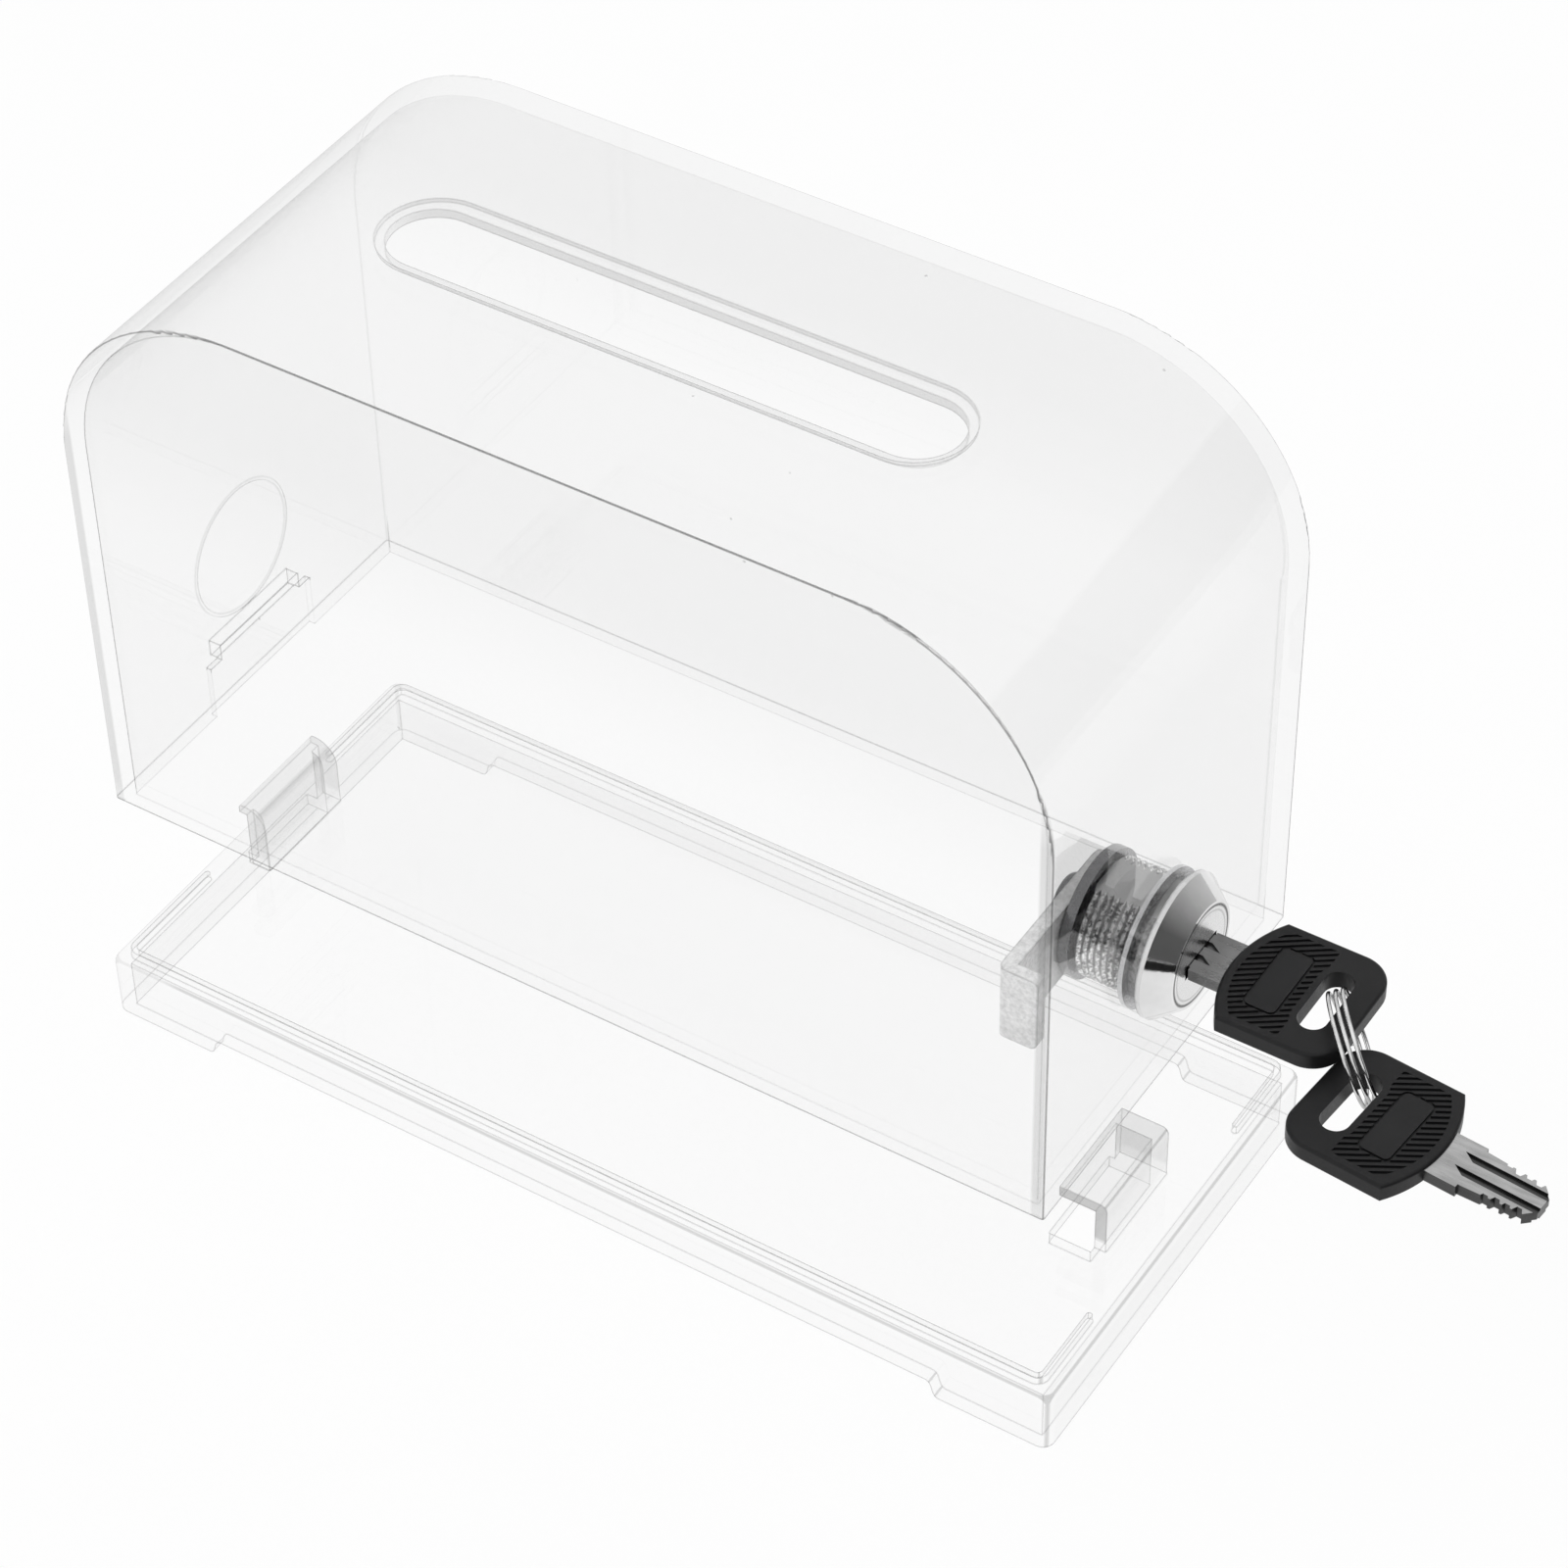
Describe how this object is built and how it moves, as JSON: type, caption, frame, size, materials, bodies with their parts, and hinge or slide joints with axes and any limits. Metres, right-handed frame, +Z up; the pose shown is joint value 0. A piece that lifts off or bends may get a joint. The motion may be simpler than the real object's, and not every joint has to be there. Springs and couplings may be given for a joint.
{
  "type": "ballot box",
  "caption": "Clear plastic ballot and donation box: a slotted cover that lifts off a footed base tray, a turning cam lock with hooked cam, and keys on a split ring.",
  "frame": {"origin": "middle of the base tray's footprint, on the plane its feet and end skirts stand on", "axes": "+X along the length toward the lock, -Y the front long side, +Z up"},
  "size_m": [0.2269, 0.075, 0.1427],
  "materials": {
    "clear_plastic": "clear moulded plastic, polished",
    "chrome": "bright chrome plate",
    "steel": "satin steel",
    "cast_zinc": "rough light grey casting",
    "brass": "stamped brass",
    "black_plastic": "satin black moulded plastic"
  },
  "bodies": {
    "base": {"base_tray": "clear_plastic"},
    "cover": {"cover_shell": "clear_plastic", "lock_housing": "chrome", "fixing_ring": "steel"},
    "plug": {"lock_plug": "chrome", "wafer_tumblers": "brass", "wafer_springs": "steel", "plug_retainer": "brass", "stop_washer": "steel", "cam_hook": "cast_zinc", "cam_washer": "steel", "cam_screw": "steel"},
    "key_1": {"key_1_head": "black_plastic", "key_1_blade": "steel"},
    "ring": {"split_ring": "chrome"},
    "key_2": {"key_2_head": "black_plastic", "key_2_blade": "steel"}
  },
  "joints": [
    {"name": "cover_lift", "type": "slide", "parent": "base", "child": "cover", "axis": [0, 0, 1], "range_m": [-0.033, 0.09]},
    {"name": "lock_turn", "type": "hinge", "parent": "cover", "child": "plug", "pos_m": [0.08, 0, 0.0681], "axis": [1, 0, 0], "range_deg": [0, 90]},
    {"name": "key_withdraw", "type": "slide", "parent": "plug", "child": "key_1", "axis": [1, 0, 0], "range_m": [0, 0.02]},
    {"name": "ring_turn", "type": "hinge", "parent": "key_1", "child": "ring", "pos_m": [0.10905, -0.002, 0.06524], "axis": [0.7503, 0.5716, 0.3322], "range_deg": [-2, 15]},
    {"name": "key_2_turn", "type": "hinge", "parent": "ring", "child": "key_2", "pos_m": [0.10905, -0.002, 0.06524], "axis": [0.7503, 0.5716, 0.3322], "range_deg": [-2, 15]}
  ]
}
